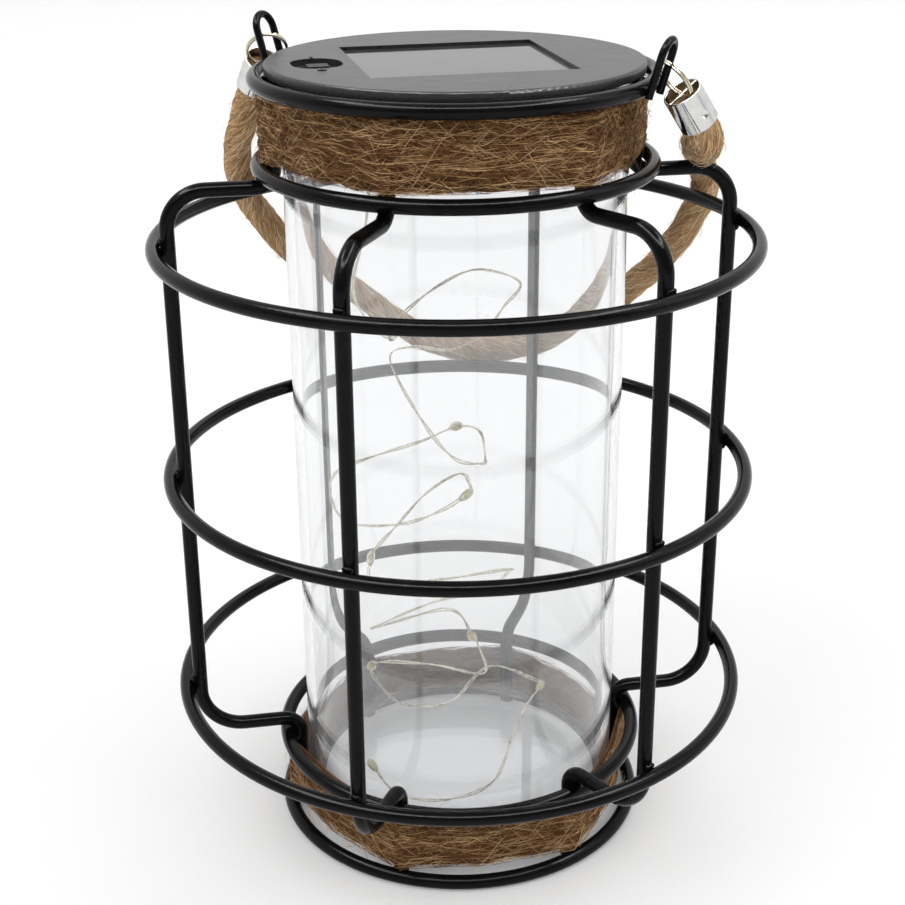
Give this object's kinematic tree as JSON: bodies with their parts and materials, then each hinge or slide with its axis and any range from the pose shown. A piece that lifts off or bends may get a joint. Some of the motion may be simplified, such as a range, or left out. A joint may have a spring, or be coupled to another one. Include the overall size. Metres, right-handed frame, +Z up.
{
  "type": "caged glass jar lantern",
  "caption": "Solar lantern: a clear glass jar in a round black wire cage, with jute wraps, a flat solar lid, a string of small lights and a rope carry handle.",
  "frame": {"origin": "on the floor under the middle of the jar, at the underside of the foot ring", "axes": "+Z up along the jar; -Y is the front, where the rope handle isn't; +X to the right seen from the front"},
  "size_m": [0.164, 0.1735, 0.2283],
  "materials": {
    "black_wire": "satin",
    "jute_wrap": "matt",
    "clear_glass": "polished",
    "lid_plastic": "satin",
    "solar_cell": "gloss",
    "panel_window": "satin",
    "seal_rubber": "matt",
    "screw_steel": "satin",
    "board": "satin",
    "switch_case": "satin",
    "slider_plastic": "satin",
    "mark_plastic": "satin",
    "battery": "gloss",
    "spring_wire": "bright",
    "contact_plate": "satin",
    "string_wire": "gloss",
    "light_bulb": "clear",
    "jute_rope": "matt",
    "bright_cap": "polished",
    "ring_wire": "bright"
  },
  "bodies": {
    "cage": {"top_ring": "black_wire", "neck_ring": "black_wire", "upper_hoop": "black_wire", "middle_hoop": "black_wire", "lower_hoop": "black_wire", "base_ring": "black_wire", "foot_ring": "black_wire", "jar_rest_ring": "black_wire", "rib_1": "black_wire", "rib_2": "black_wire", "rib_3": "black_wire", "rib_4": "black_wire", "rib_5": "black_wire", "rib_6": "black_wire", "left_eyelet": "black_wire", "right_eyelet": "black_wire", "neck_jute_wrap": "jute_wrap", "base_jute_wrap": "jute_wrap"},
    "jar": {"glass_jar": "clear_glass"},
    "lid": {"lid_shell": "lid_plastic", "solar_cell": "solar_cell", "panel_window": "panel_window", "lid_seal": "seal_rubber", "lid_underside": "lid_plastic", "lid_screws": "screw_steel", "circuit_board": "board", "switch_case": "switch_case", "switch_marks": "mark_plastic", "battery": "battery", "battery_spring": "spring_wire", "battery_contact": "contact_plate", "battery_door": "lid_plastic", "battery_door_screw": "screw_steel", "wire_grommet": "seal_rubber", "light_string": "string_wire", "string_lights": "light_bulb"},
    "switch": {"switch_slider": "slider_plastic"},
    "handle": {"rope_handle": "jute_rope", "left_rope_cap": "bright_cap", "right_rope_cap": "bright_cap", "left_cap_pin": "bright_cap", "right_cap_pin": "bright_cap", "left_split_ring": "ring_wire", "right_split_ring": "ring_wire"}
  },
  "joints": [
    {"name": "handle_swing", "type": "hinge", "parent": "cage", "child": "handle", "pos_m": [0, 0, 0.222], "axis": [0.8988, -0.4384, 0], "range_deg": [0, 235]},
    {"name": "jar_lift", "type": "slide", "parent": "cage", "child": "jar", "axis": [0, 0, 1], "range_m": [0, 0.23]},
    {"name": "lid_lift", "type": "slide", "parent": "jar", "child": "lid", "axis": [0, 0, 1], "range_m": [0, 0.22]},
    {"name": "switch_slide", "type": "slide", "parent": "lid", "child": "switch", "axis": [-0.2164, 0.9763, 0], "range_m": [0, 0.004]}
  ]
}
